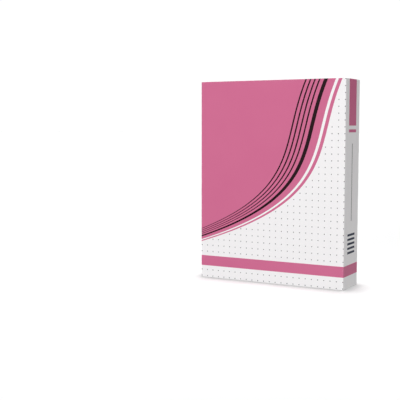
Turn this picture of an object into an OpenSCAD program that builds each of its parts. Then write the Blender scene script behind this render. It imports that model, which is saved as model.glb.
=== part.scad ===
// Ream of letter paper sealed in its wrapper, standing on one folded end.
// The printed face looks to -Y, the lap seam runs down the +Y face, and the sheets' length is along Z.
//
// The wrapper is one sheet, closed round the stack to a sleeve and folded shut at both ends:
// first the two sides are tucked in, which creases the front and back panels at 45 degrees into flaps,
// then the back flap goes down, and last the front flap over it.

/* [Paper] */
// Width of one sheet
sheet_w = 215.9; // [150:0.1:300]
// Length of one sheet
sheet_l = 279.4; // [200:0.1:450]
// Number of sheets in the stack
sheet_count = 500; // [250:50:600]
// Thickness of one sheet
sheet_t = 0.105; // [0.08:0.001:0.13]

/* [Wrapper] */
// Thickness of the wrapping paper
wrap_t = 0.12; // [0.06:0.01:0.2]
// Play between the stack and the wrapper, on each side
wrap_play = 0.5; // [0:0.1:1]
// Bend radius of the wrapper along the four long edges
side_bend_r = 1.6; // [0.6:0.1:4]
// Bend radius of the wrapper over the ends of the stack
end_bend_r = 0.9; // [0.5:0.1:2]
// How far each end flap reaches past the middle of the stack
flap_past_middle = 10; // [4:1:14]
// Width of the glued lap seam down the back
seam_w = 22; // [10:1:60]

/* [Hidden] */

// Segments in a full circle of a bend
bend_fn = 32;

// Outside of the sleeve round the stack
pack_w = sheet_w + 2 * (wrap_play + wrap_t);
pack_t = sheet_count * sheet_t + 2 * (wrap_play + wrap_t);

// Layers of wrapper between the stack's end and the outside of each fold
tuck_layers = 1;
inner_flap_layers = tuck_layers + 2; // the tuck, the flap's own gusset and the flap
lap_layers = inner_flap_layers + 1;
outer_flap_layers = lap_layers + 1;

// Overall length, over the outer flap of each end
pack_l = sheet_l + 2 * outer_flap_layers * wrap_t;

// Length of wrapper that is folded over each end
flap_len = pack_t / 2 + flap_past_middle;

// Rectangle round the origin, with its corners rounded
module round_rectangle(width, height, r) {
    square([width - 2 * r, height], center = true);
    square([width, height - 2 * r], center = true);
    for (x = [-1, 1], y = [-1, 1])
        translate([x * (width / 2 - r), y * (height / 2 - r)])
            circle(r, $fn = bend_fn);
}

// The stack with its sleeve bent round it, and this many layers of wrapper on each end
module bent_block(end_layers) {
    block_l = sheet_l + 2 * end_layers * wrap_t;
    intersection() {
        linear_extrude(block_l, center = true)
            round_rectangle(pack_w, pack_t, side_bend_r);
        rotate([90, 0, 0])
            linear_extrude(pack_t, center = true)
                round_rectangle(pack_w, block_l, end_bend_r);
        rotate([90, 0, 90])
            linear_extrude(pack_w, center = true)
                round_rectangle(pack_t, block_l, end_bend_r);
    }
}

// Outline of a folded flap: its fold line lies along -Y, and a 45 degree crease runs in from each corner
module flap_outline() {
    polygon([
        [-pack_w / 2, -pack_t / 2],
        [pack_w / 2, -pack_t / 2],
        [pack_w / 2 - flap_len, flap_len - pack_t / 2],
        [flap_len - pack_w / 2, flap_len - pack_t / 2]
    ]);
}

// The flaps that fold down over both ends from one face, as the block between them
module end_flaps(layers) {
    intersection() {
        bent_block(layers);
        linear_extrude(pack_l, center = true)
            flap_outline();
    }
}

// The stack in its sleeve, with the sides tucked in flat over the ends
module tucked_sleeve() {
    color("whitesmoke")
        bent_block(tuck_layers);
}

// The back panel's flaps, which go down first
module inner_flaps() {
    color("white")
        mirror([0, 1, 0])
            end_flaps(inner_flap_layers);
}

// The front panel's flaps, glued down over the inner ones
module outer_flaps() {
    color("white")
        end_flaps(outer_flap_layers);
}

// The second layer where the sleeve is lapped, down the back and on over the inner flaps
module lap_seam() {
    color("snow")
        intersection() {
            translate([0, wrap_t, 0])
                bent_block(lap_layers);
            translate([-seam_w / 2, pack_t / 2 - flap_len, -pack_l / 2])
                cube([seam_w, flap_len + wrap_t, pack_l]);
        }
}

// The sealed pack, standing on the outer flap of its lower end
module wrapped_ream() {
    translate([0, 0, pack_l / 2]) {
        tucked_sleeve();
        inner_flaps();
        outer_flaps();
        lap_seam();
    }
}

wrapped_ream();
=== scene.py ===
import math
import bmesh
import bpy
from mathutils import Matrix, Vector


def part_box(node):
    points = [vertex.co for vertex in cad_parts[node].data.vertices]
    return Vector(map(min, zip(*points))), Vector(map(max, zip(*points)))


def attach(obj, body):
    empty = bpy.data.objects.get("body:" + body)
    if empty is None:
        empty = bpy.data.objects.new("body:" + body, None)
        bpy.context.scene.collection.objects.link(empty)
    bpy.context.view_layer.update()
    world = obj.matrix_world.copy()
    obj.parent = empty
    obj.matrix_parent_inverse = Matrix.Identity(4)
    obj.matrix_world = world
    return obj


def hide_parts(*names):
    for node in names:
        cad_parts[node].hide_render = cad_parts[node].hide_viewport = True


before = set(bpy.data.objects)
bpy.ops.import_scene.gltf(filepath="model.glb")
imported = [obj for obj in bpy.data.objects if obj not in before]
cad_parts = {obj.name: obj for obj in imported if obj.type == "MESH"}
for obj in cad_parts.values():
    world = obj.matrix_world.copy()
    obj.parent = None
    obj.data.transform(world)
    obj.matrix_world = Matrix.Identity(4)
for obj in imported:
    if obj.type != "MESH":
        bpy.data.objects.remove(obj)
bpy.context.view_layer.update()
mm = 0.001
print("frame loaded")


def linearColour(hexText):
    channels = [int(hexText[i:i + 2], 16) / 255 for i in (0, 2, 4)]
    return [c / 12.92 if c <= 0.04045 else ((c + 0.055) / 1.055) ** 2.4 for c in channels] + [1.0]


def addNode(tree, kind, links=(), **settings):
    # links are by socket name or in the sockets' order: a socket or node to join, or a value to set
    made = tree.nodes.new(kind)
    for name, value in settings.items():
        setattr(made, name, value)
    for name, value in links.items() if isinstance(links, dict) else enumerate(links):
        if isinstance(value, bpy.types.Node):
            value = value.outputs[0]
        if isinstance(value, bpy.types.NodeSocket):
            tree.links.new(value, made.inputs[name])
        else:
            made.inputs[name].default_value = value
    return made


def ease(low, high, value):
    t = min(1.0, max(0.0, (value - low) / (high - low)))
    return t * t * (3 - 2 * t)


def spread(start, end, steps):
    return [start + (end - start) * k / steps for k in range(steps)]


# The wrapper is one sheet folded round the pack.
# It's laid out in mm, panel by panel, so that its creases and free edges are real ones.

nodeLow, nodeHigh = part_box("wrapped_ream")
pack = {
    "width": (nodeHigh[0] - nodeLow[0]) / mm,
    "depth": -2 * nodeLow[1] / mm,          # without the lap, which stands proud of the back
    "height": (nodeHigh[2] - nodeLow[2]) / mm,
    "lapProud": (nodeHigh[1] + nodeLow[1]) / mm,
}
wrapper = {                     # in mm
    "sideBend": 0.9,            # bend of the four long edges
    "endBend": 0.6,             # bend over the ends
    "flapPastMiddle": 10,       # how far each end flap reaches past the middle
    "seamWidth": 22,            # lap down the back
    "sheet": 0.12,              # the paper at a free edge
    "tightPly": 0.13,           # how far one ply stands over the next at a bend, and at the foot
    "loosePly": 0.32,           # the same on top, away from the bends
    "loosens": (0, 12),         # in from the bends, where it goes from the one to the other
    "stacks": (0, 7),           # in from the bends, where all the plies come to lie on each other
    "drawsApart": (1.5, 16),    # from a corner, where the plies part from each other
    "tuckSag": 0.7,             # how far the tucked sides sink between their creases
    "lowTuckSag": 0.21,         # the same at the lower end, under the pack's weight
    "tuckFromSide": (1, 14),    # in from the side and from the face, where they start and end sinking
    "tuckFromFace": (0, 9),
    "flapSag": 0.5,             # how far the flaps sink where no tuck lies under them
    "flapPastTuck": (-4, 22),   # past the tuck, and in from the face, where they start and end sinking
    "flapFromFace": (1, 12),
    "foldRound": 0.16,          # how far a flap rounds down along its creases
    "foldWidth": 0.6,
    "lapRamp": 1.2,             # half as wide as the slope over the seam's hidden edge
    "lapCurl": 0.9,             # how far the lap's free edge stands off, past its glue line
    "lapUnglued": 5,            # how far in from its free edge the glue line lies
    "lapFromEnd": (2, 20),      # from either end, where it starts to stand off
    "lapUneven": 0.35,          # how much the curl varies, in two waves
    "lapWaves": (13, 31),       # their lengths over 2 pi
    "slot": 1.4,                # how far the gap under a flap's edge runs in
    "slotRatio": 5,             # and at most this many times its height
    "leastStep": 0.03,          # a lower step between two plies gets no lip
    "lipShare": 0.45,           # a lip takes at most this share of the step
    "bendSteps": 5,             # over an end's bend
    "arcSteps": 6,              # round a long edge: even, so that a column lies on each crease
    "reachSteps": 12,           # over the ends, in from a long edge to where a flap's edge lies
    "middleSteps": 8,           # from there to the middle
    "widthSteps": 18,           # over the rest of the width
    "seamSteps": 10,
    "heightSteps": 56,          # up the pack
    "nearBend": [0.5, 1.5, 3, 5, 8, 12, 16],    # rows this far from a bend
    "mergeWithin": 0.002,
    "leastEdge": 0.0005,
    "sharpAngle": 40,           # degrees
}
bend = wrapper["endBend"]
halfWidth, halfDepth = pack["width"] / 2, pack["depth"] / 2
# the rectangle that the long edges bend round
rimX, rimY = halfWidth - wrapper["sideBend"], halfDepth - wrapper["sideBend"]
seamEdge = wrapper["seamWidth"] / 2
flapEdge = wrapper["flapPastMiddle"]
flapReach = halfDepth + flapEdge

# Grid lines over the ends step in alike from both sides of a corner, so that the 45 degree creases run
# through grid points
reachSteps, middleSteps, widthSteps = wrapper["reachSteps"], wrapper["middleSteps"], wrapper["widthSteps"]
depthStops = (spread(-rimY, -flapEdge, reachSteps) + spread(-flapEdge, 0, middleSteps)
              + spread(0, flapEdge, middleSteps) + spread(flapEdge, rimY, reachSteps) + [rimY])
cornerStops = [y + rimY - rimX for y in depthStops]
widthStops = (cornerStops[:-1] + spread(cornerStops[-1], -seamEdge, widthSteps)
              + spread(-seamEdge, seamEdge, wrapper["seamSteps"])
              + spread(seamEdge, -cornerStops[-1], widthSteps) + [-x for x in reversed(cornerStops)])
lastI, lastJ = len(widthStops) - 1, len(depthStops) - 1

# How many plies lie outside each panel at the ends, on the end itself and where the panel bends over it,
# and which panel lies over which
plies = {"front": 0, "backLeft": 2, "backRight": 2, "left": 4, "right": 4}
bendPlies = {"front": 0, "backLeft": 2, "backRight": 2, "left": 0.5, "right": 0.5, "corner": 0.7}
overlap = {"front": 4, "backLeft": 3, "backRight": 2, "left": 1, "right": 1}


def lapRise(panel, x):
    # the back's left half laps over its right half, and the hidden edge shows as a soft ridge
    ramp = wrapper["lapRamp"]
    return ease(-seamEdge - ramp, -seamEdge + ramp, x) if panel == "backLeft" else 0.0


def offCrease(x, y):
    # distance to the nearest 45 degree crease of a flap
    inFromSide = halfWidth - abs(x)
    offFront = abs(inFromSide - halfDepth - y) if y < flapEdge else math.inf
    offBack = abs(inFromSide - halfDepth + y) if y > 0 else math.inf
    return min(offFront, offBack) / math.sqrt(2)


def foldLevel(panel, atTop, x, y):
    # height of a panel folded over an end, down from the outermost ply
    inFromSide, inFromFace = halfWidth - abs(x), halfDepth - abs(y)
    inside = min(inFromSide, inFromFace)
    apart = ease(*wrapper["drawsApart"], math.hypot(inFromSide, inFromFace))
    tucked = ease(*wrapper["tuckFromSide"], inFromSide) * ease(*wrapper["tuckFromFace"], inFromFace)
    if not atTop:
        level = -wrapper["tightPly"] * (plies[panel] - lapRise(panel, x)) * apart
        return level - wrapper["lowTuckSag"] * tucked if panel in ("left", "right") else level
    loosened, stacked = [ease(*wrapper[name], inside) for name in ("loosens", "stacks")]
    ply = wrapper["tightPly"] + (wrapper["loosePly"] - wrapper["tightPly"]) * loosened
    above = bendPlies[panel] + (plies[panel] - bendPlies[panel]) * stacked
    level = -ply * (bendPlies["corner"] + (above - lapRise(panel, x) - bendPlies["corner"]) * apart)
    if panel in ("left", "right"):
        return level - wrapper["tuckSag"] * tucked
    level -= wrapper["foldRound"] * math.exp(-offCrease(x, y) / wrapper["foldWidth"]) * apart * stacked
    start, end = [flapReach + past for past in wrapper["flapPastTuck"]]
    loose = ease(start, end, inFromSide) * ease(*wrapper["flapFromFace"], inFromFace)
    return level - wrapper["flapSag"] * loose


# Columns round the pack, as points on the rim rectangle with the way out from it
columns = []


def addColumn(x, y, outX, outY, panel, onArc=False):
    columns.append({"x": x, "y": y, "out": (outX, outY), "panel": panel, "onArc": onArc})


def addArc(x, y, startAngle, before, after):
    steps = wrapper["arcSteps"]
    for k in range(1, steps):
        angle = math.radians(startAngle + 90 * k / steps)
        addColumn(x, y, math.cos(angle), math.sin(angle), before if k < steps / 2 else after, True)


for x in widthStops:
    addColumn(x, -rimY, 0, -1, "front")
addArc(rimX, -rimY, -90, "front", "right")
rightStart = len(columns)
for y in depthStops:
    addColumn(rimX, y, 1, 0, "right")
addArc(rimX, rimY, 0, "right", "backRight")
backStart = len(columns)
for x in reversed(widthStops):
    addColumn(x, rimY, 0, 1, "backRight" if x > seamEdge else "backLeft")
addArc(-rimX, rimY, 90, "backLeft", "left")
leftStart = len(columns)
for y in reversed(depthStops):
    addColumn(-rimX, y, -1, 0, "left")
addArc(-rimX, -rimY, 180, "left", "front")

# Rows up the pack: the lower bend, the panels, the upper bend
fromFoot = [bend + d for d in wrapper["nearBend"]]
fromTop = [pack["height"] - bend - d for d in reversed(wrapper["nearBend"])]
panelRows = fromFoot[:-1] + spread(fromFoot[-1], fromTop[0], wrapper["heightSteps"]) + fromTop
bendSteps = wrapper["bendSteps"]
rows = ([("low", 90 - 90 * k / bendSteps) for k in range(bendSteps + 1)]
        + [("panel", z) for z in panelRows]
        + [("high", 90 * k / bendSteps) for k in range(bendSteps + 1)])
lastRow = len(rows) - 1


def ringPoint(panel, column, row):
    c = columns[column]
    kind, value = rows[row]
    tilt = 0 if kind == "panel" else math.radians(value)
    proud = lapRise(panel, c["x"]) * pack["lapProud"]
    if panel == "backLeft" and kind == "panel":
        (short, long), uneven = wrapper["lapWaves"], wrapper["lapUneven"]
        wave = 1 - uneven + uneven * math.sin(value / short) * math.sin(value / long + 1)
        unglued = ease(seamEdge - wrapper["lapUnglued"], seamEdge, c["x"])
        fromEnd = min(value, pack["height"] - value)
        proud += wrapper["lapCurl"] * wave * unglued * ease(*wrapper["lapFromEnd"], fromEnd)
    reach = wrapper["sideBend"] - bend * (1 - math.cos(tilt)) + proud * math.cos(tilt)
    x, y = c["x"] + c["out"][0] * reach, c["y"] + c["out"][1] * reach
    if kind == "panel":
        return Vector((x, y, value))
    edgeX = c["x"] + c["out"][0] * wrapper["sideBend"]
    edgeY = c["y"] + c["out"][1] * wrapper["sideBend"]
    drop = bend * (1 - math.sin(tilt)) - foldLevel(panel, kind == "high", edgeX, edgeY)
    return Vector((x, y, pack["height"] - drop if kind == "high" else drop))


def endPoint(panel, atTop, i, j):
    x, y = widthStops[i], depthStops[j]
    level = foldLevel(panel, atTop, x, y)
    return Vector((x, y, pack["height"] + level if atTop else -level))


def flatPlace(panel, key, point):
    # the point's place on the flat printed sheet: across from the front's left edge, and up from its foot
    x, y, z = point
    across, inward = {
        "front": (x + halfWidth, y + halfDepth),
        "right": (pack["width"] + y + halfDepth, halfWidth - x),
        "left": (-y - halfDepth, halfWidth + x),
        "backRight": (pack["width"] + pack["depth"] + halfWidth - x, halfDepth - y),
        "backLeft": (-pack["depth"] - x - halfWidth, halfDepth - y),
    }[panel]
    if key[0] == "end":
        return across, pack["height"] + inward if key[1] else -inward
    kind, value = rows[key[2]]
    if kind == "panel":
        return across, z
    past = bend * (value / 45 - 1)
    return across, pack["height"] + past if kind == "high" else -past


wearing = {
    "width": 0.9,       # mm over which it fades
    "endBend": 0.6,     # how strong it is on the ends, beside a bend and along a flap's creases
    "flapCrease": 0.7,
}


def creaseWear(key):
    # 1 on a bend, falling away over the panel beside it
    width = wearing["width"]
    if key[0] == "end":
        x, y = widthStops[key[2]], depthStops[key[3]]
        inside = min(rimX - abs(x), rimY - abs(y))
        return max(wearing["endBend"] * math.exp(-inside / width),
                   wearing["flapCrease"] * math.exp(-offCrease(x, y) / width))
    c = columns[key[1]]
    kind, value = rows[key[2]]
    fromEnd = min(value, pack["height"] - value) - bend if kind == "panel" else 0
    fromSide = 0 if c["onArc"] else rimX - abs(c["x"]) if c["out"][0] == 0 else rimY - abs(c["y"])
    return max(math.exp(-fromEnd / width), math.exp(-fromSide / width))


freedom = {
    "bend": 0.25,       # on the upper bends
    "tuck": 1.0,        # on the upper end
    "flap": 0.55,
    "underPack": 0.15,  # on the lower end, above the outer flap
    "side": 0.2,        # on the upright faces
    "face": 0.15,
    "inFromBend": (0, 7),   # mm over which it grows
    "upFromFoot": (0, 8),
}


def looseness(panel, key):
    # how freely the paper may settle inwards: not at all where the pack stands on it
    tucked = panel in ("left", "right")
    if key[0] == "end":
        if not key[1]:
            return 0.0 if panel == "front" else freedom["underPack"]
        inside = min(rimX - abs(widthStops[key[2]]), rimY - abs(depthStops[key[3]]))
        grown = freedom["bend"] + (1 - freedom["bend"]) * ease(*freedom["inFromBend"], inside)
        return grown * freedom["tuck" if tucked else "flap"]
    kind, value = rows[key[2]]
    if kind == "low":
        return 0.0
    if kind == "high":
        return freedom["bend"] * value / 90
    return freedom["side" if tucked else "face"] * ease(*freedom["upFromFoot"], value)


def wayOut(key):
    # straight out of the pack, so that a fold's two sides settle together
    if key[0] == "end":
        return (0, 0, 1 if key[1] else -1)
    outX, outY = columns[key[1]]["out"]
    kind, value = rows[key[2]]
    tilt = 0 if kind == "panel" else math.radians(value if kind == "high" else -value)
    return (outX * math.cos(tilt), outY * math.cos(tilt), math.sin(tilt))


points, places, wearAt, looseAt, outAt = [], [], [], [], []
vertexAt, panelsAt = {}, {}


def addPoint(panel, key, point, shift=None):
    points.append(point + shift if shift else point)
    places.append(flatPlace(panel, key, point))
    wearAt.append(creaseWear(key))
    looseAt.append(looseness(panel, key))
    outAt.append(wayOut(key))
    return len(points) - 1


def vertex(panel, key):
    if (panel, key) not in vertexAt:
        point = ringPoint(panel, *key[1:]) if key[0] == "ring" else endPoint(panel, *key[1:])
        vertexAt[panel, key] = addPoint(panel, key, point)
        panelsAt.setdefault(key, set()).add(panel)
    return vertexAt[panel, key]


faces, edgeUse = [], {}     # a face is its corners and whether it's raw paper edge


def addPanelFace(panel, keys):
    corners = [vertex(panel, key) for key in keys]
    faces.append((corners, False))
    for k, key in enumerate(keys):
        following = keys[(k + 1) % len(keys)]
        edgeUse.setdefault(frozenset((key, following)), []).append((panel, key, following, corners))


def panelOver(keys):
    # which panel is outermost over the middle of this bit of an end
    x = sum(widthStops[key[2]] for key in keys) / len(keys)
    y = sum(depthStops[key[3]] for key in keys) / len(keys)
    fromSide = halfWidth - abs(x)
    if y + halfDepth < min(fromSide, flapReach):
        return "front"
    if halfDepth - y < fromSide:
        return "backLeft" if x < seamEdge else "backRight"
    return "left" if x < 0 else "right"


def addEnd(atTop):
    ringRow = lastRow if atTop else 0

    def add(panel, keys):
        addPanelFace(panel, keys if atTop else keys[::-1])

    def ring(column):
        return ("ring", column % len(columns), ringRow)

    def end(i, j):
        return ("end", atTop, i, j)

    for i in range(lastI):
        for j in range(lastJ):
            a, b, c, d = end(i, j), end(i + 1, j), end(i + 1, j + 1), end(i, j + 1)
            middleX = (widthStops[i] + widthStops[i + 1]) / 2
            middleY = (depthStops[j] + depthStops[j + 1]) / 2
            offFront = abs(halfWidth - abs(middleX) - halfDepth - middleY)
            offBack = abs(halfWidth - abs(middleX) - halfDepth + middleY)
            rising = (middleX < 0) == (offFront < offBack)      # the way the nearer crease would cross it
            halves = ([a, b, c], [a, c, d]) if rising else ([a, b, d], [b, c, d])
            if panelOver(halves[0]) == panelOver(halves[1]):
                add(panelOver(halves[0]), [a, b, c, d])
            else:
                for half in halves:
                    add(panelOver(half), half)
    for i in range(lastI):
        add("front", [ring(i), ring(i + 1), end(i + 1, 0), end(i, 0)])
        back = backStart + lastI - i
        add(columns[back - 1]["panel"], [end(i, lastJ), end(i + 1, lastJ), ring(back - 1), ring(back)])
    for j in range(lastJ):
        add("right", [end(lastI, j), ring(rightStart + j), ring(rightStart + j + 1), end(lastI, j + 1)])
        left = leftStart + lastJ - j
        add("left", [ring(left), end(0, j), end(0, j + 1), ring(left - 1)])
    for corner, start in ((end(lastI, 0), lastI), (end(lastI, lastJ), rightStart + lastJ),
                          (end(0, lastJ), backStart + lastI), (end(0, 0), leftStart + lastJ)):
        for column in range(start, start + wrapper["arcSteps"]):
            add(columns[column]["panel"], [corner, ring(column), ring(column + 1)])


for column in range(len(columns)):
    following = (column + 1) % len(columns)
    for row in range(lastRow):
        addPanelFace(columns[column]["panel"], [("ring", column, row), ("ring", following, row),
                                                ("ring", following, row + 1), ("ring", column, row + 1)])
addEnd(True)
addEnd(False)
print("panels laid out:", len(faces), "faces")

# Where one panel lies over another, its edge gets the paper's thickness and a slot under it
edgeSteps, inwardAt = [], {}
for uses in edgeUse.values():
    upper, lower = sorted(uses, key=lambda use: -overlap[use[0]])
    if overlap[upper[0]] == overlap[lower[0]]:
        continue
    panel, start, end, corners = upper
    startPoint = points[vertex(panel, start)]
    along = (points[vertex(panel, end)] - startPoint).normalized()
    inward = sum((points[c] for c in corners), Vector()) / len(corners) - startPoint
    inward -= along * inward.dot(along)
    edgeSteps.append((panel, lower[0], start, end))
    for key in (start, end):
        inwardAt.setdefault((panel, lower[0], key), []).append(inward.normalized())
edgeChains = {}
samePlace = 0.01    # mm


def edgeChain(upper, lower, key):
    # from the upper panel's edge round its thickness, into the slot, and out along the lower panel
    name = (upper, lower, key)
    if name not in edgeChains:
        top, base = vertex(upper, key), vertex(lower, key)
        fall = points[base] - points[top]
        others = {overlap[p]: p for p in panelsAt[key] if p not in (upper, lower)
                  and (points[vertex(p, key)] - points[top]).length > samePlace
                  and (points[vertex(p, key)] - points[base]).length > samePlace}
        between = [vertex(p, key) for rank, p in others.items() if overlap[lower] < rank < overlap[upper]]
        if fall.length < wrapper["leastStep"] or any(rank > overlap[upper] for rank in others):
            edgeChains[name] = [top, top, top, base, base]
        else:
            room = (points[between[0]] - points[top]).length if between else fall.length
            lip = fall.normalized() * min(wrapper["sheet"], wrapper["lipShare"] * room)
            under = edgeChains.get((upper, "lip", key))
            if under is None:
                under = edgeChains[upper, "lip", key] = addPoint(upper, key, points[top], lip)
            if others:
                edgeChains[name] = [top, under, under, between[0] if between else base, base]
            else:
                run = min(wrapper["slot"], wrapper["slotRatio"] * fall.length)
                inward = sum(inwardAt[name], Vector()).normalized() * run
                edgeChains[name] = [top, under, addPoint(upper, key, points[top], lip + inward),
                                    addPoint(lower, key, points[base], inward), base]
    return edgeChains[name]


def isRawEdge(upper, lower, start, end):
    if upper == "backLeft" and lower == "backRight":
        return True
    alongEdge = start[0] == end[0] == "end" and depthStops[start[3]] == depthStops[end[3]] == flapEdge
    return upper == "front" and alongEdge


for upper, lower, start, end in edgeSteps:
    first, second = edgeChain(upper, lower, start), edgeChain(upper, lower, end)
    for k in range(4):
        corners = list(dict.fromkeys([second[k], first[k], first[k + 1], second[k + 1]]))
        if len(corners) > 2:
            faces.append((corners, k == 0 and isRawEdge(upper, lower, start, end)))

build = bmesh.new()
sheetLayer = build.loops.layers.uv.new("flatSheet")
wearLayer = build.verts.layers.float.new("creaseWear")
looseLayer = build.verts.layers.float.new("looseness")
outLayer = build.verts.layers.float_vector.new("wayOut")
rawLayer = build.faces.layers.bool.new("rawEdge")
corner = []
for k, point in enumerate(points):
    corner.append(build.verts.new(point * mm))
    corner[k][wearLayer] = wearAt[k]
    corner[k][looseLayer] = looseAt[k]
    corner[k][outLayer] = outAt[k]
for corners, raw in faces:
    face = build.faces.new([corner[c] for c in corners])
    face[rawLayer] = raw
    face.smooth = True
    for loop, c in zip(face.loops, corners):
        loop[sheetLayer].uv = (places[c][0] * mm, places[c][1] * mm)
bmesh.ops.remove_doubles(build, verts=build.verts, dist=wrapper["mergeWithin"] * mm)
bmesh.ops.dissolve_degenerate(build, edges=build.edges, dist=wrapper["leastEdge"] * mm)
openEdges = sum(len(e.link_faces) != 2 for e in build.edges)
print("wrapper mesh:", len(build.verts), "points,", len(build.faces), "faces,", openEdges, "open edges")
layout = bpy.data.meshes.new("wrapperLayout")
build.to_mesh(layout)
build.free()
layout.set_sharp_from_angle(angle=math.radians(wrapper["sharpAngle"]))
wrapperPiece = bpy.data.objects.new("printed_wrapper", layout)
bpy.context.scene.collection.objects.link(wrapperPiece)

# The print, in mm on the flat sheet: across from the front's left edge, down from its top edge
printing = {
    "paper": ("EBE9EA", "F1EFF0"),      # between the fibres and on them
    "field": ("C7658B", "CB6B8F"),      # thin and full ink
    "dot": "56585E",
    "ink": "1C0009",
    "sideInk": "17233F",
    "scuff": "EFE6E8",
    "fibre": 1.1,           # size of the paper's tooth, drawn coarser than real so that it shows
    "cloud": 60,            # size of the ink's unevenness
    "fieldWidth": 203,      # the sweeping field at the front's top edge
    "fieldFoot": 226,       # where it meets the left edge
    "waist": 30,            # how far the sweep draws in near the top
    "turnIn": 3.3,          # how late it turns in towards the left edge
    "bleed": 1.5,           # how far the field runs on round the left edge
    "ribbon": (4, 9),       # a stripe beside the field, from and to
    "band": (248.9, 263.5),     # all round the pack, between two rows of dots
    "boldLine": (11, 16.5),     # inside the field, from and to
    "lines": (4, 21.5, 6.5, 2.2),   # further in: how many, how far in, pitch, width
    "sideInset": 13,        # the bars on the sides stand in this far
    "sideBar": 62,
    "sideStripe": (67, 71),
    "sideRule": (86, 190, 1.6),     # from, to, width
    "sideSheets": (5, 207, 6, 3),   # bars like sheets seen edge on: how many, from where, pitch, width
    "dotPitch": 8.95,
    "dotRadius": 0.72,
    "dotStart": (1.4, 1.1),     # the first dot, across and down
    "dotClear": 13,         # from the field's edge to the first whole dot
    "roughness": (0.52, 0.10),      # between the fibres, and how much more on them
    "inkSmoother": -0.06,           # what the ink takes off
    "toothHeight": 0.02,
    "toothStrength": 0.18,
    "scuffs": (0.6, 0.3),           # fibres higher than this lose ink on a bend, by this share at most
}


def sweepGroup():
    # right border of the printed field at a height down the front, one long S curve
    group = bpy.data.node_groups.new("sweepBorder", "ShaderNodeTree")
    group.interface.new_socket("Down", in_out="INPUT", socket_type="NodeSocketFloat")
    group.interface.new_socket("Border", in_out="OUTPUT", socket_type="NodeSocketFloat")
    down = addNode(group, "NodeGroupInput")
    share = addNode(group, "ShaderNodeMath", [down, printing["fieldFoot"]], operation="DIVIDE")
    onField = addNode(group, "ShaderNodeMath", [share, 0.0], operation="ADD", use_clamp=True)
    turn = addNode(group, "ShaderNodeMath", [onField, math.pi], operation="MULTIPLY")
    swell = addNode(group, "ShaderNodeMath", [turn], operation="SINE")
    fade = addNode(group, "ShaderNodeMath", [1.0, onField], operation="SUBTRACT")
    wave = addNode(group, "ShaderNodeMath", [swell, fade], operation="MULTIPLY")
    drawn = addNode(group, "ShaderNodeMath", [wave, -printing["waist"], printing["fieldWidth"]],
                    operation="MULTIPLY_ADD")
    below = addNode(group, "ShaderNodeMath", [share, 0.0], operation="MAXIMUM")
    fall = addNode(group, "ShaderNodeMath", [below, printing["turnIn"]], operation="POWER")
    border = addNode(group, "ShaderNodeMath", [fall, -printing["fieldWidth"], drawn],
                     operation="MULTIPLY_ADD")
    addNode(group, "NodeGroupOutput", [border])
    return group


def insideShapes(tree, shapes):
    # 1 inside any of the shapes; a shape is where its bands cross, and a band is a value with its limits
    inside = None
    for bands in shapes:
        shape = None
        for value, low, high in bands:
            middle, half = (low + high) / 2, (high - low) / 2
            band = addNode(tree, "ShaderNodeMath", [value, middle, half], operation="COMPARE")
            shape = addNode(tree, "ShaderNodeMath", [shape, band], operation="MULTIPLY") if shape else band
        inside = addNode(tree, "ShaderNodeMath", [inside, shape], operation="MAXIMUM") if inside else shape
    return inside


def stripeBands(tree, value, count, start, pitch, line):
    # evenly spaced stripes, as two bands
    turns = addNode(tree, "ShaderNodeMath", [value, 1 / pitch, -start / pitch], operation="MULTIPLY_ADD")
    part = addNode(tree, "ShaderNodeMath", [turns], operation="FRACT")
    return [(turns, 0, count), (part, 0, line / pitch)]


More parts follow.
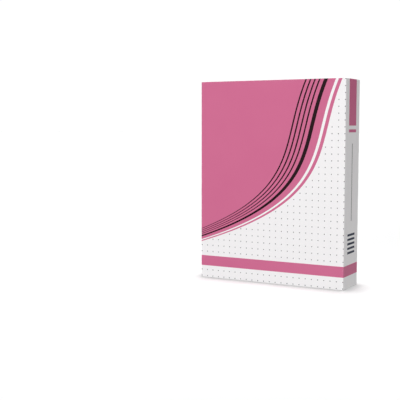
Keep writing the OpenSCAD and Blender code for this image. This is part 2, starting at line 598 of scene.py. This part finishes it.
def printedPaper():
    # poly-coated wrapping paper with flat printed inks: a satin face with a faint tooth of fibres
    material = bpy.data.materials.new("printedCoatedPaper")
    material.use_nodes = True
    tree = material.node_tree
    tree.nodes.clear()
    width, depth, height = pack["width"], pack["depth"], pack["height"]
    beyond = 1000
    sheet = addNode(tree, "ShaderNodeUVMap", uv_map="flatSheet")
    onSheet = addNode(tree, "ShaderNodeMapping",
                      {"Vector": sheet, "Scale": (1 / mm, -1 / mm, 1), "Location": (0, height, 0)})
    across, down, _ = addNode(tree, "ShaderNodeSeparateXYZ", [onSheet]).outputs

    # the field with its ribbon and lines on the front, bars on both sides, and the band round the foot
    sweep = sweepGroup()
    border = addNode(tree, "ShaderNodeGroup", [down], node_tree=sweep)
    past = addNode(tree, "ShaderNodeMath", [across, border], operation="SUBTRACT")
    within = addNode(tree, "ShaderNodeMath", [border, across], operation="SUBTRACT")
    fromMiddle = addNode(tree, "ShaderNodeMath", [across, width / 2], operation="SUBTRACT")
    offMiddle = addNode(tree, "ShaderNodeMath", [fromMiddle], operation="ABSOLUTE")
    beside = addNode(tree, "ShaderNodeMath", [offMiddle, width / 2], operation="SUBTRACT")
    onFront = (across, -printing["bleed"], width + 1)
    onBar = (beside, printing["sideInset"], depth - printing["sideInset"])
    field = insideShapes(tree, [
        [(within, 0, beyond), onFront],
        [(past, *printing["ribbon"]), onFront],
        [(down, *printing["band"])],
        [(down, -beyond, printing["sideBar"]), onBar],
        [(down, *printing["sideStripe"]), onBar],
    ])
    ruleStart, ruleEnd, ruleWidth = printing["sideRule"]
    dark = insideShapes(tree, [
        [(within, *printing["boldLine"]), onFront],
        stripeBands(tree, within, *printing["lines"]) + [onFront],
        [(down, ruleStart, ruleEnd), (beside, (depth - ruleWidth) / 2, (depth + ruleWidth) / 2)],
    ])
    navy = insideShapes(tree, [stripeBands(tree, down, *printing["sideSheets"]) + [onBar]])

    # dots on the front and back, whole ones only
    pitch, dotStart = printing["dotPitch"], (*printing["dotStart"], 0)
    fromStart = addNode(tree, "ShaderNodeVectorMath", [onSheet, dotStart], operation="SUBTRACT")
    fromDot = addNode(tree, "ShaderNodeVectorMath", [fromStart, (pitch / 2,) * 3, (-pitch / 2,) * 3],
                      operation="WRAP")
    dotSpace = addNode(tree, "ShaderNodeVectorMath", [fromDot], operation="LENGTH").outputs["Value"]
    dotMiddle = addNode(tree, "ShaderNodeVectorMath", [onSheet, fromDot], operation="SUBTRACT")
    dotAcross, dotDown, _ = addNode(tree, "ShaderNodeSeparateXYZ", [dotMiddle]).outputs
    dotBorder = addNode(tree, "ShaderNodeGroup", [dotDown], node_tree=sweep)
    dotPast = addNode(tree, "ShaderNodeMath", [dotAcross, dotBorder], operation="SUBTRACT")
    onDot = (dotSpace, -1, printing["dotRadius"])
    dots = insideShapes(tree, [
        [onDot, (dotPast, printing["dotClear"], beyond), (dotAcross, -1, width)],
        [onDot, (dotAcross, -beyond, -depth)],
        [onDot, (dotAcross, width + depth, beyond)],
    ])

    place = addNode(tree, "ShaderNodeTexCoord").outputs["Object"]
    fibre = addNode(tree, "ShaderNodeTexNoise",
                    {"Vector": place, "Scale": 1 / (printing["fibre"] * mm), "Detail": 4.0,
                     "Roughness": 0.65})
    cloud = addNode(tree, "ShaderNodeTexNoise",
                    {"Vector": place, "Scale": 1 / (printing["cloud"] * mm), "Detail": 2.0})
    scuffAbove, scuffShare = printing["scuffs"]
    raised = addNode(tree, "ShaderNodeMath", [fibre, scuffAbove], operation="GREATER_THAN")
    worn = addNode(tree, "ShaderNodeAttribute", attribute_name="creaseWear").outputs["Fac"]
    wear = addNode(tree, "ShaderNodeMath", [worn, scuffShare], operation="MULTIPLY")
    scuffs = addNode(tree, "ShaderNodeMath", [raised, wear], operation="MULTIPLY")
    paper, solid = [
        addNode(tree, "ShaderNodeMix", {0: pattern, 6: linearColour(low), 7: linearColour(high)},
                data_type="RGBA").outputs[2]
        for pattern, (low, high) in ((fibre, printing["paper"]), (cloud, printing["field"]))]
    colour = paper
    for mask, over in ((dots, linearColour(printing["dot"])), (field, solid),
                       (dark, linearColour(printing["ink"])), (navy, linearColour(printing["sideInk"])),
                       (scuffs, linearColour(printing["scuff"]))):
        colour = addNode(tree, "ShaderNodeMix", {0: mask, 6: colour, 7: over}, data_type="RGBA").outputs[2]
    pressed = addNode(tree, "ShaderNodeMath", [field, dark], operation="MAXIMUM")
    inked = addNode(tree, "ShaderNodeMath", [pressed, navy], operation="MAXIMUM")
    between, more = printing["roughness"]
    matt = addNode(tree, "ShaderNodeMath", [fibre, more, between], operation="MULTIPLY_ADD")
    roughness = addNode(tree, "ShaderNodeMath", [inked, printing["inkSmoother"], matt],
                        operation="MULTIPLY_ADD")
    tooth = addNode(tree, "ShaderNodeBump",
                    {"Strength": printing["toothStrength"], "Distance": printing["toothHeight"] * mm,
                     "Height": fibre})
    # little specular, so that the dark inks stay dark, as thin coatings on fibre do
    shader = addNode(tree, "ShaderNodeBsdfPrincipled",
                     {"Base Color": colour, "Roughness": roughness, "IOR": 1.5, "Specular IOR Level": 0.1,
                      "Normal": tooth})
    addNode(tree, "ShaderNodeOutputMaterial", [shader])
    return material


cutEdge = {
    "colours": ("DEDBD8", "F0EEEA"),
    "fibre": 0.4,
}


def cutPaper():
    # the wrapper's cut edge: uncoated, a shade greyer and quite matt
    material = bpy.data.materials.new("cutPaperEdge")
    material.use_nodes = True
    tree = material.node_tree
    tree.nodes.clear()
    place = addNode(tree, "ShaderNodeTexCoord").outputs["Object"]
    fibre = addNode(tree, "ShaderNodeTexNoise",
                    {"Vector": place, "Scale": 1 / (cutEdge["fibre"] * mm), "Detail": 3.0})
    low, high = [linearColour(shade) for shade in cutEdge["colours"]]
    colour = addNode(tree, "ShaderNodeMix", {0: fibre, 6: low, 7: high}, data_type="RGBA").outputs[2]
    shader = addNode(tree, "ShaderNodeBsdfPrincipled", {"Base Color": colour, "Roughness": 0.85})
    addNode(tree, "ShaderNodeOutputMaterial", [shader])
    return material


settling = {
    "Depth": 0.9 * mm,      # most that loose paper sinks
    "Ripple": 34 * mm,      # size of the broad waves
    "Pucker": 11 * mm,      # size of the small ones, seen where the paper is loosest
    "Seed": 4.0,
}


def settleTree():
    # the paper settles inwards in broad waves and small puckers, by how loose it is
    tree = bpy.data.node_groups.new("settlePaper", "GeometryNodeTree")
    tree.interface.new_socket("Geometry", in_out="INPUT", socket_type="NodeSocketGeometry")
    for title in settling:
        tree.interface.new_socket(title, in_out="INPUT", socket_type="NodeSocketFloat")
    for title in ("Printed", "Cut"):
        tree.interface.new_socket(title, in_out="INPUT", socket_type="NodeSocketMaterial")
    tree.interface.new_socket("Geometry", in_out="OUTPUT", socket_type="NodeSocketGeometry")
    given = addNode(tree, "NodeGroupInput").outputs
    place = addNode(tree, "GeometryNodeInputPosition")
    wayOut = addNode(tree, "GeometryNodeInputNamedAttribute", ["wayOut"], data_type="FLOAT_VECTOR")
    loose = addNode(tree, "GeometryNodeInputNamedAttribute", ["looseness"], data_type="FLOAT")
    waves = []
    for title in ("Ripple", "Pucker"):
        scale = addNode(tree, "ShaderNodeMath", [1.0, given[title]], operation="DIVIDE")
        waves.append(addNode(tree, "ShaderNodeTexNoise",
                             {"Vector": place, "W": given["Seed"], "Scale": scale, "Detail": 1.0},
                             noise_dimensions="4D"))
    loosest = addNode(tree, "ShaderNodeMath", [loose, loose], operation="MULTIPLY")
    swell = addNode(tree, "ShaderNodeMath", [waves[1], loosest, waves[0]], operation="MULTIPLY_ADD")
    reach = addNode(tree, "ShaderNodeMath", [loose, given["Depth"]], operation="MULTIPLY")
    depth = addNode(tree, "ShaderNodeMath", [swell, reach], operation="MULTIPLY")
    outward = addNode(tree, "ShaderNodeMath", [depth, -1.0], operation="MULTIPLY")
    offset = addNode(tree, "ShaderNodeVectorMath", {"Vector": wayOut, "Scale": outward}, operation="SCALE")
    moved = addNode(tree, "GeometryNodeSetPosition", {"Geometry": given["Geometry"], "Offset": offset})
    whole = addNode(tree, "GeometryNodeRealizeInstances", [moved])
    printed = addNode(tree, "GeometryNodeSetMaterial", {"Geometry": whole, "Material": given["Printed"]})
    raw = addNode(tree, "GeometryNodeInputNamedAttribute", ["rawEdge"], data_type="BOOLEAN")
    finished = addNode(tree, "GeometryNodeSetMaterial",
                       {"Geometry": printed, "Selection": raw, "Material": given["Cut"]})
    addNode(tree, "NodeGroupOutput", [finished])
    return tree


settle = wrapperPiece.modifiers.new("settle", "NODES")
settle.node_group = settleTree()
materials = {"Printed": printedPaper(), "Cut": cutPaper()}
for item in settle.node_group.interface.items_tree:
    if item.in_out == "INPUT" and item.name in settling:
        settle[item.identifier] = settling[item.name]
    elif item.in_out == "INPUT" and item.name in materials:
        settle[item.identifier] = materials[item.name]
depsgraph = bpy.context.evaluated_depsgraph_get()
finishedMesh = bpy.data.meshes.new_from_object(
    wrapperPiece.evaluated_get(depsgraph), preserve_all_data_layers=True, depsgraph=depsgraph)
wrapperPiece.modifiers.remove(settle)
wrapperPiece.data = finishedMesh
finishedMesh.name = "printed_wrapper"
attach(wrapperPiece, "root")
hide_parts("wrapped_ream")
print("wrapper settled and dressed")

# Floor, light and camera
studio = {
    "floor": 60.0,              # m across
    "floorDrop": 0.0002,        # a hair under the pack's foot
    "floorColour": "FCFCFC",
    "contactShadeColour": "BCBCBC",  # painted shade close under the pack
    "contactReach": 0.016,
    "floorGlow": 1.045,         # painted light: the even glow that the floor gives the pack, in place of the light it throws back
    "glowGap": 0.0008,          # nearer than this it fades
    "sky": (0.09, 1.03),        # as light, and where it's seen
    "lamps": {                  # strength, softness in degrees, azimuth and elevation it shines from
        "soft_overhead": (2.80, 14, -150, 87.7),
        "soft_front": (1.41, 16, -4, 6),
        "soft_back": (0.85, 10, 203, 6),
    },
    "spot": {                   # on the upper part of the front, fading towards its foot
        "watts": 26,
        "cone": 19,
        "radius": 0.25,
        "place": (-1.25, -2.2, 0.42),
        "aim": (0.06, -0.03, 0.36),
    },
}
bpy.ops.mesh.primitive_plane_add(size=studio["floor"], location=(0, 0, -studio["floorDrop"]))
floor = bpy.context.object
floor.name = "studio_floor"
# The floor is painted as the camera sees it, with a painted shade close under the pack that darkens where
# little is open above it.
# To the pack it's a painted light, an even glow in place of its bounce, which fades in the gap right under
# it.
floorMaterial = bpy.data.materials.new("paintedFloor")
floorMaterial.use_nodes = True
floorTree = floorMaterial.node_tree
floorTree.nodes.clear()
# painted shade: the floor's colour darkens towards the contact shade where the pack closes it in
openAbove = addNode(floorTree, "ShaderNodeAmbientOcclusion", {"Distance": studio["contactReach"]})
contact, clean = [linearColour(studio[name]) for name in ("contactShadeColour", "floorColour")]
paint = addNode(floorTree, "ShaderNodeMix", {0: openAbove.outputs["AO"], 6: contact, 7: clean},
                data_type="RGBA").outputs[2]
painted = addNode(floorTree, "ShaderNodeBsdfPrincipled",
                  {"Base Color": paint, "Roughness": 0.9, "Specular IOR Level": 0.0})
floorRay = addNode(floorTree, "ShaderNodeLightPath").outputs
clear = addNode(floorTree, "ShaderNodeMath", [floorRay["Ray Length"], studio["glowGap"]],
                operation="DIVIDE", use_clamp=True)
glowing = addNode(floorTree, "ShaderNodeMath", [clear, studio["floorGlow"]], operation="MULTIPLY")
# painted light: the floor glows as an emission towards the pack, though it is no lamp
glowInPlaceOfBounce = addNode(floorTree, "ShaderNodeEmission", [(1, 1, 1, 1), glowing])
surface = addNode(floorTree, "ShaderNodeMixShader", [floorRay["Is Camera Ray"], glowInPlaceOfBounce, painted])
addNode(floorTree, "ShaderNodeOutputMaterial", [surface])
floor.data.materials.append(floorMaterial)

for name, (strength, softness, azimuth, elevation) in studio["lamps"].items():
    lamp = bpy.data.lights.new(name, "SUN")
    lamp.energy = strength
    lamp.angle = math.radians(softness)
    holder = bpy.data.objects.new(name, lamp)
    a, e = math.radians(azimuth), math.radians(elevation)
    source = Vector((math.sin(a) * math.cos(e), -math.cos(a) * math.cos(e), math.sin(e)))
    holder.rotation_euler = source.to_track_quat("Z", "Y").to_euler()
    bpy.context.scene.collection.objects.link(holder)

spot = bpy.data.lights.new("soft_spot", "SPOT")
spot.energy = studio["spot"]["watts"]
spot.spot_size = math.radians(studio["spot"]["cone"])
spot.spot_blend = 1.0
spot.shadow_soft_size = studio["spot"]["radius"]
spotHolder = bpy.data.objects.new("soft_spot", spot)
spotHolder.location = studio["spot"]["place"]
beam = Vector(studio["spot"]["aim"]) - spotHolder.location
spotHolder.rotation_euler = beam.to_track_quat("-Z", "Y").to_euler()
bpy.context.scene.collection.objects.link(spotHolder)

world = bpy.data.worlds.new("paleStudio")
bpy.context.scene.world = world
world.use_nodes = True
sky = world.node_tree
sky.nodes.clear()
seen = addNode(sky, "ShaderNodeLightPath").outputs["Is Camera Ray"]
glow = addNode(sky, "ShaderNodeMix", {0: seen, 2: studio["sky"][0], 3: studio["sky"][1]})
backdrop = addNode(sky, "ShaderNodeBackground", [(1, 1, 1, 1), glow])
addNode(sky, "ShaderNodeOutputWorld", [backdrop])

view = {
    "azimuth": 29.77,           # degrees round from straight in front
    "elevation": 4.97,
    "place": (492.8, -1082.1, 217.2),   # mm
    "lens": 75.94,
}
cameraData = bpy.data.cameras.new("camera")
cameraData.lens = view["lens"]
cameraData.sensor_width = 36
camera = bpy.data.objects.new("camera", cameraData)
camera.location = [v * mm for v in view["place"]]
camera.rotation_euler = (math.radians(90 - view["elevation"]), 0, math.radians(view["azimuth"]))
bpy.context.scene.collection.objects.link(camera)
bpy.context.scene.camera = camera
bpy.context.scene.view_settings.view_transform = "Standard"
print("stage, light and camera set")
